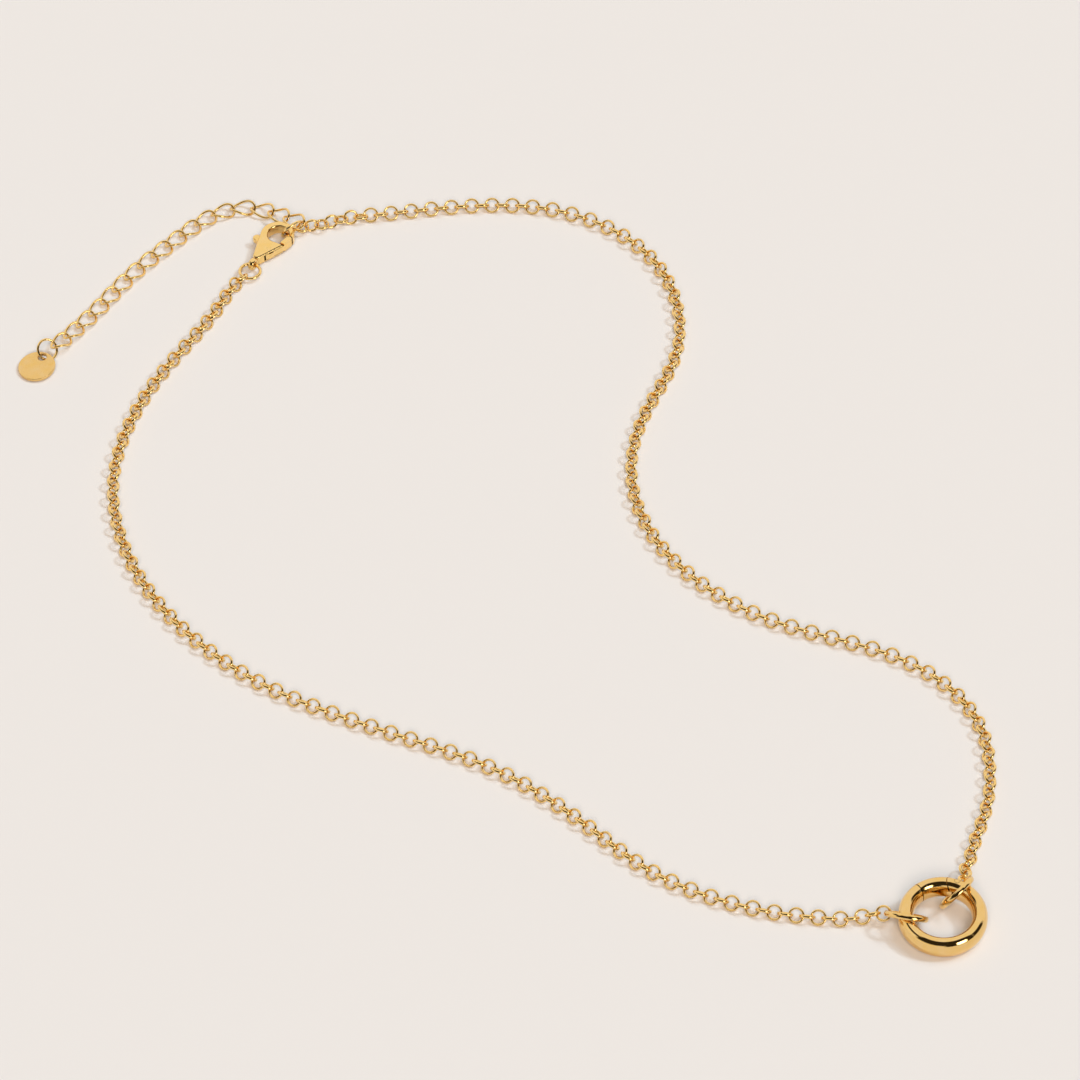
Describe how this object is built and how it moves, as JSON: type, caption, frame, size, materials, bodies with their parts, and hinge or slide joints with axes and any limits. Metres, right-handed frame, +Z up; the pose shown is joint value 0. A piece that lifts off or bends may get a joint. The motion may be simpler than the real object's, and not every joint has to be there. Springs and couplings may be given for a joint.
{
  "type": "chain necklace",
  "caption": "Fine link chain necklace with a chunky hinged ring pendant on two band bails, lobster clasp, extender chain and round end tag.",
  "frame": {"origin": "on the resting plane, below the centre of the pendant ring", "axes": "+X towards the right strand side, +Y from the pendant towards the clasp, +Z up from the resting plane"},
  "size_m": [0.1342, 0.1458, 0.0055],
  "materials": {
    "polished_gold": "polished",
    "chain_gold": "polished",
    "tag_gold": "softly brushed",
    "spring": "satin"
  },
  "bodies": {
    "pendant": {"pendant_ring": "polished_gold", "gate_hinge_pin": "polished_gold"},
    "clasp": {"clasp_body": "polished_gold", "clasp_lever_pin": "polished_gold", "clasp_spring": "spring"},
    "left_chain_10": {"left_chain_10": "chain_gold"},
    "left_chain_16": {"left_chain_16": "chain_gold"},
    "left_chain_19": {"left_chain_19": "chain_gold"},
    "clasp_jump_ring": {"clasp_jump_ring": "polished_gold"},
    "left_chain_20": {"left_chain_20": "chain_gold"},
    "left_chain_18": {"left_chain_18": "chain_gold"},
    "left_chain_17": {"left_chain_17": "chain_gold"},
    "left_chain_13": {"left_chain_13": "chain_gold"},
    "left_chain_15": {"left_chain_15": "chain_gold"},
    "left_chain_14": {"left_chain_14": "chain_gold"},
    "left_chain_12": {"left_chain_12": "chain_gold"},
    "left_chain_11": {"left_chain_11": "chain_gold"},
    "right_chain_06": {"right_chain_06": "chain_gold"},
    "left_chain_02": {"left_chain_02": "chain_gold"},
    "left_chain_06": {"left_chain_06": "chain_gold"},
    "left_chain_08": {"left_chain_08": "chain_gold"},
    "left_chain_09": {"left_chain_09": "chain_gold"},
    "left_chain_07": {"left_chain_07": "chain_gold"},
    "left_chain_04": {"left_chain_04": "chain_gold"},
    "left_chain_05": {"left_chain_05": "chain_gold"},
    "left_chain_03": {"left_chain_03": "chain_gold"},
    "right_chain_02": {"right_chain_02": "chain_gold"},
    "left_chain_01": {"left_chain_01": "chain_gold"},
    "right_chain_01": {"right_chain_01": "chain_gold"},
    "right_chain_04": {"right_chain_04": "chain_gold"},
    "right_chain_03": {"right_chain_03": "chain_gold"},
    "right_chain_05": {"right_chain_05": "chain_gold"},
    "right_chain_14": {"right_chain_14": "chain_gold"},
    "right_chain_10": {"right_chain_10": "chain_gold"},
    "right_chain_08": {"right_chain_08": "chain_gold"},
    "right_chain_07": {"right_chain_07": "chain_gold"},
    "right_chain_09": {"right_chain_09": "chain_gold"},
    "right_chain_12": {"right_chain_12": "chain_gold"},
    "right_chain_11": {"right_chain_11": "chain_gold"},
    "right_chain_13": {"right_chain_13": "chain_gold"},
    "right_chain_18": {"right_chain_18": "chain_gold"},
    "right_chain_16": {"right_chain_16": "chain_gold"},
    "right_chain_15": {"right_chain_15": "chain_gold"},
    "right_chain_17": {"right_chain_17": "chain_gold"},
    "right_chain_20": {"right_chain_20": "chain_gold"},
    "right_chain_19": {"right_chain_19": "chain_gold"},
    "right_chain_21": {"right_chain_21": "chain_gold"},
    "end_ring": {"end_ring": "chain_gold"},
    "left_bail": {"left_bail": "polished_gold"},
    "right_bail": {"right_bail": "polished_gold"},
    "pendant_gate": {"pendant_gate": "polished_gold"},
    "clasp_lever": {"clasp_lever": "polished_gold"},
    "extender_chain_1": {"extender_chain_1": "chain_gold"},
    "extender_chain_2": {"extender_chain_2": "chain_gold"},
    "extender_chain_3": {"extender_chain_3": "chain_gold"},
    "extender_chain_4": {"extender_chain_4": "chain_gold"},
    "extender_chain_5": {"extender_chain_5": "chain_gold"},
    "extender_chain_6": {"extender_chain_6": "chain_gold"},
    "tag_ring": {"tag_ring": "chain_gold"},
    "tag_disc": {"tag_disc": "tag_gold"}
  },
  "joints": [
    {"name": "left_chain_10_swing", "type": "hinge", "parent": "clasp", "child": "left_chain_10", "pos_m": [-0.0936, 0.1266, 0.00095], "axis": [-0.6197, -0.7825, -0.0604], "range_deg": [0, 26]},
    {"name": "left_chain_16_swing", "type": "hinge", "parent": "left_chain_10", "child": "left_chain_16", "pos_m": [-0.0936, 0.1266, 0.00095], "axis": [0.0686, -0.9976, -0.001], "range_deg": [-22, 0]},
    {"name": "left_chain_19_swing", "type": "hinge", "parent": "left_chain_16", "child": "left_chain_19", "pos_m": [-0.0936, 0.1266, 0.00095], "axis": [0.4307, 0.9025, 0.002], "range_deg": [0, 18]},
    {"name": "clasp_jump_ring_swing", "type": "hinge", "parent": "left_chain_19", "child": "clasp_jump_ring", "pos_m": [-0.0936, 0.1266, 0.00095], "axis": [-0.4613, -0.8872, -0.007], "range_deg": [-15, 0]},
    {"name": "left_chain_20_swing", "type": "hinge", "parent": "clasp_jump_ring", "child": "left_chain_20", "pos_m": [-0.09491, 0.1241, 0.00078], "axis": [0.4605, 0.8876, -0.0104], "range_deg": [0, 6]},
    {"name": "left_chain_18_swing", "type": "hinge", "parent": "left_chain_19", "child": "left_chain_18", "pos_m": [-0.10386, 0.10776, 0.00087], "axis": [-0.3752, -0.9269, -0.0001], "range_deg": [-15, 0]},
    {"name": "left_chain_17_swing", "type": "hinge", "parent": "left_chain_18", "child": "left_chain_17", "pos_m": [-0.10783, 0.09997, 0.00086], "axis": [-0.3048, -0.9524, 0.0008], "range_deg": [0, 12]},
    {"name": "left_chain_13_swing", "type": "hinge", "parent": "left_chain_16", "child": "left_chain_13", "pos_m": [-0.11179, 0.08159, 0.00087], "axis": [-0.5195, 0.8545, 0], "range_deg": [0, 18]},
    {"name": "left_chain_15_swing", "type": "hinge", "parent": "left_chain_13", "child": "left_chain_15", "pos_m": [-0.11179, 0.08159, 0.00087], "axis": [0.2441, -0.9697, 0], "range_deg": [-15, 0]},
    {"name": "left_chain_14_swing", "type": "hinge", "parent": "left_chain_15", "child": "left_chain_14", "pos_m": [-0.1103, 0.07153, 0.00087], "axis": [-0.3553, 0.9347, 0], "range_deg": [0, 12]},
    {"name": "left_chain_12_swing", "type": "hinge", "parent": "left_chain_13", "child": "left_chain_12", "pos_m": [-0.10179, 0.05475, 0.00087], "axis": [0.7425, -0.6698, 0], "range_deg": [-15, 0]},
    {"name": "left_chain_11_swing", "type": "hinge", "parent": "left_chain_12", "child": "left_chain_11", "pos_m": [-0.09587, 0.04832, 0.00087], "axis": [-0.7934, 0.6087, 0], "range_deg": [0, 12]},
    {"name": "right_chain_06_swing", "type": "hinge", "parent": "left_chain_10", "child": "right_chain_06", "pos_m": [-0.08009, 0.03799, 0.00087], "axis": [-0.0895, 0.996, 0.006], "range_deg": [-14, 0]},
    {"name": "left_chain_02_swing", "type": "hinge", "parent": "right_chain_06", "child": "left_chain_02", "pos_m": [-0.08009, 0.03799, 0.00087], "axis": [-0.99, -0.1413, 0], "range_deg": [0, 18]},
    {"name": "left_chain_06_swing", "type": "hinge", "parent": "left_chain_02", "child": "left_chain_06", "pos_m": [-0.08009, 0.03799, 0.00087], "axis": [-0.8418, 0.5398, -0.0001], "range_deg": [-15, 0]},
    {"name": "left_chain_08_swing", "type": "hinge", "parent": "left_chain_06", "child": "left_chain_08", "pos_m": [-0.08009, 0.03799, 0.00087], "axis": [0.8928, -0.4505, 0], "range_deg": [0, 12]},
    {"name": "left_chain_09_swing", "type": "hinge", "parent": "left_chain_08", "child": "left_chain_09", "pos_m": [-0.08009, 0.03799, 0.00087], "axis": [-0.908, 0.4189, 0], "range_deg": [-10, 0]},
    {"name": "left_chain_07_swing", "type": "hinge", "parent": "left_chain_08", "child": "left_chain_07", "pos_m": [-0.06285, 0.03015, 0.00087], "axis": [0.8496, -0.5274, 0], "range_deg": [-10, 0]},
    {"name": "left_chain_04_swing", "type": "hinge", "parent": "left_chain_06", "child": "left_chain_04", "pos_m": [-0.04777, 0.01881, 0.00087], "axis": [-0.815, 0.5795, -0.0001], "range_deg": [0, 12]},
    {"name": "left_chain_05_swing", "type": "hinge", "parent": "left_chain_04", "child": "left_chain_05", "pos_m": [-0.04777, 0.01881, 0.00087], "axis": [-0.6981, 0.716, 0], "range_deg": [-10, 0]},
    {"name": "left_chain_03_swing", "type": "hinge", "parent": "left_chain_04", "child": "left_chain_03", "pos_m": [-0.03356, 0.00642, 0.00087], "axis": [-0.9202, 0.3915, -0.0005], "range_deg": [-10, 0]},
    {"name": "right_chain_02_swing", "type": "hinge", "parent": "left_chain_02", "child": "right_chain_02", "pos_m": [-0.01554, 0.00106, 0.00086], "axis": [0.2254, 0.9743, 0.0001], "range_deg": [-15, 0]},
    {"name": "pendant_swing", "type": "hinge", "parent": "right_chain_02", "child": "pendant", "pos_m": [-0.01554, 0.00106, 0.00086], "axis": [-0.8172, -0.5763, -0.0015], "range_deg": [0, 12]},
    {"name": "left_chain_01_swing", "type": "hinge", "parent": "pendant", "child": "left_chain_01", "pos_m": [-0.01554, 0.00106, 0.00086], "axis": [-0.9911, 0.0145, -0.1321], "range_deg": [-10, 0]},
    {"name": "right_chain_01_swing", "type": "hinge", "parent": "pendant", "child": "right_chain_01", "pos_m": [0.00304, 0.00613, 0.002], "axis": [-0.2086, -0.9715, 0.1124], "range_deg": [-10, 0]},
    {"name": "right_chain_04_swing", "type": "hinge", "parent": "right_chain_02", "child": "right_chain_04", "pos_m": [0.0071, 0.02407, 0.00086], "axis": [0.4248, -0.9053, -0.0004], "range_deg": [0, 12]},
    {"name": "right_chain_03_swing", "type": "hinge", "parent": "right_chain_04", "child": "right_chain_03", "pos_m": [0.0071, 0.02407, 0.00086], "axis": [0.0392, -0.9992, -0.0011], "range_deg": [-10, 0]},
    {"name": "right_chain_05_swing", "type": "hinge", "parent": "right_chain_04", "child": "right_chain_05", "pos_m": [0.00311, 0.0421, 0.00087], "axis": [0.7516, -0.6596, 0], "range_deg": [-10, 0]},
    {"name": "right_chain_14_swing", "type": "hinge", "parent": "right_chain_06", "child": "right_chain_14", "pos_m": [-0.01387, 0.05274, 0.00087], "axis": [0.682, -0.7314, -0.0052], "range_deg": [0, 10]},
    {"name": "right_chain_10_swing", "type": "hinge", "parent": "right_chain_14", "child": "right_chain_10", "pos_m": [-0.01387, 0.05274, 0.00087], "axis": [0.3532, -0.9356, 0], "range_deg": [-15, 0]},
    {"name": "right_chain_08_swing", "type": "hinge", "parent": "right_chain_10", "child": "right_chain_08", "pos_m": [-0.01387, 0.05274, 0.00087], "axis": [-0.7894, 0.6139, 0], "range_deg": [0, 12]},
    {"name": "right_chain_07_swing", "type": "hinge", "parent": "right_chain_08", "child": "right_chain_07", "pos_m": [-0.01387, 0.05274, 0.00087], "axis": [0.9212, -0.3891, 0], "range_deg": [-10, 0]},
    {"name": "right_chain_09_swing", "type": "hinge", "parent": "right_chain_08", "child": "right_chain_09", "pos_m": [-0.03009, 0.06217, 0.00087], "axis": [-0.6134, 0.7898, 0], "range_deg": [-10, 0]},
    {"name": "right_chain_12_swing", "type": "hinge", "parent": "right_chain_10", "child": "right_chain_12", "pos_m": [-0.03941, 0.07833, 0.00087], "axis": [0.1847, 0.9828, 0], "range_deg": [0, 12]},
    {"name": "right_chain_11_swing", "type": "hinge", "parent": "right_chain_12", "child": "right_chain_11", "pos_m": [-0.03941, 0.07833, 0.00087], "axis": [0.0499, -0.9988, 0], "range_deg": [-10, 0]},
    {"name": "right_chain_13_swing", "type": "hinge", "parent": "right_chain_12", "child": "right_chain_13", "pos_m": [-0.03784, 0.09692, 0.00087], "axis": [-0.3637, -0.9315, 0], "range_deg": [-10, 0]},
    {"name": "right_chain_18_swing", "type": "hinge", "parent": "right_chain_14", "child": "right_chain_18", "pos_m": [-0.03324, 0.1165, 0.00087], "axis": [-0.9588, 0.2839, 0.0098], "range_deg": [-9, 0]},
    {"name": "right_chain_16_swing", "type": "hinge", "parent": "right_chain_18", "child": "right_chain_16", "pos_m": [-0.03324, 0.1165, 0.00087], "axis": [0.6244, -0.7811, -0.0001], "range_deg": [0, 12]},
    {"name": "right_chain_15_swing", "type": "hinge", "parent": "right_chain_16", "child": "right_chain_15", "pos_m": [-0.03324, 0.1165, 0.00087], "axis": [0.2471, -0.969, 0], "range_deg": [-10, 0]},
    {"name": "right_chain_17_swing", "type": "hinge", "parent": "right_chain_16", "child": "right_chain_17", "pos_m": [-0.04143, 0.13302, 0.00087], "axis": [-0.878, 0.4787, 0.0002], "range_deg": [-10, 0]},
    {"name": "right_chain_20_swing", "type": "hinge", "parent": "right_chain_18", "child": "right_chain_20", "pos_m": [-0.05894, 0.13901, 0.00085], "axis": [0.9792, 0.2019, -0.0194], "range_deg": [0, 6]},
    {"name": "right_chain_19_swing", "type": "hinge", "parent": "right_chain_20", "child": "right_chain_19", "pos_m": [-0.05894, 0.13901, 0.00085], "axis": [0.9956, 0.0936, -0.0051], "range_deg": [-10, 0]},
    {"name": "right_chain_21_swing", "type": "hinge", "parent": "right_chain_20", "child": "right_chain_21", "pos_m": [-0.07772, 0.13675, 0.0009], "axis": [-0.9417, -0.3332, 0.0467], "range_deg": [-4, 0]},
    {"name": "end_ring_swing", "type": "hinge", "parent": "right_chain_21", "child": "end_ring", "pos_m": [-0.08726, 0.13425, 0.00111], "axis": [0.6992, 0.6952, -0.1669], "range_deg": [0, 3]},
    {"name": "left_bail_swing", "type": "hinge", "parent": "pendant", "child": "left_bail", "pos_m": [-0.0073, 0.00094, 0.00196], "axis": [0.9269, -0.3484, 0.1399], "range_deg": [-25, 0]},
    {"name": "right_bail_swing", "type": "hinge", "parent": "pendant", "child": "right_bail", "pos_m": [0.00304, 0.00613, 0.002], "axis": [-0.417, -0.8587, 0.2978], "range_deg": [0, 25]},
    {"name": "gate_hinge", "type": "hinge", "parent": "pendant", "child": "pendant_gate", "pos_m": [0.00198, 0.00463, 0.00282], "axis": [0, 0.1219, -0.9925], "range_deg": [0, 45]},
    {"name": "clasp_lever_pivot", "type": "hinge", "parent": "clasp", "child": "clasp_lever", "pos_m": [-0.09132, 0.12874, 0.00113], "axis": [-0.0305, -0.0529, 0.9981], "range_deg": [0, 8], "stiffness_Nm_per_rad": 0.00002, "springref_deg": -2.86, "deforming": ["clasp_spring"]},
    {"name": "extender_chain_1_swing", "type": "hinge", "parent": "end_ring", "child": "extender_chain_1", "pos_m": [-0.08691, 0.13396, 0.00213], "axis": [0.5321, 0.8467, 0], "range_deg": [0, 6]},
    {"name": "extender_chain_2_swing", "type": "hinge", "parent": "extender_chain_1", "child": "extender_chain_2", "pos_m": [-0.09391, 0.13836, 0.00072], "axis": [0, 0, 1], "range_deg": [-12, 3]},
    {"name": "extender_chain_3_swing", "type": "hinge", "parent": "extender_chain_2", "child": "extender_chain_3", "pos_m": [-0.10168, 0.13517, 0.00062], "axis": [-0.7347, 0.6783, 0], "range_deg": [0, 18]},
    {"name": "extender_chain_4_swing", "type": "hinge", "parent": "extender_chain_3", "child": "extender_chain_4", "pos_m": [-0.10568, 0.13084, 0.00062], "axis": [0, 0, 1], "range_deg": [-14, 4]},
    {"name": "extender_chain_5_swing", "type": "hinge", "parent": "extender_chain_4", "child": "extender_chain_5", "pos_m": [-0.11121, 0.12394, 0.00062], "axis": [-0.8409, 0.5412, 0], "range_deg": [0, 18]},
    {"name": "extender_chain_6_swing", "type": "hinge", "parent": "extender_chain_5", "child": "extender_chain_6", "pos_m": [-0.116, 0.1165, 0.00064], "axis": [0, 0, 1], "range_deg": [-14, 4]},
    {"name": "tag_ring_swing", "type": "hinge", "parent": "extender_chain_6", "child": "tag_ring", "pos_m": [-0.12083, 0.1094, 0.00125], "axis": [-0.7389, 0.6739, 0], "range_deg": [0, 20]},
    {"name": "tag_disc_swing", "type": "hinge", "parent": "tag_ring", "child": "tag_disc", "pos_m": [-0.12266, 0.10739, 0.00082], "axis": [-0.895, 0.446, 0], "range_deg": [0, 15]}
  ]
}
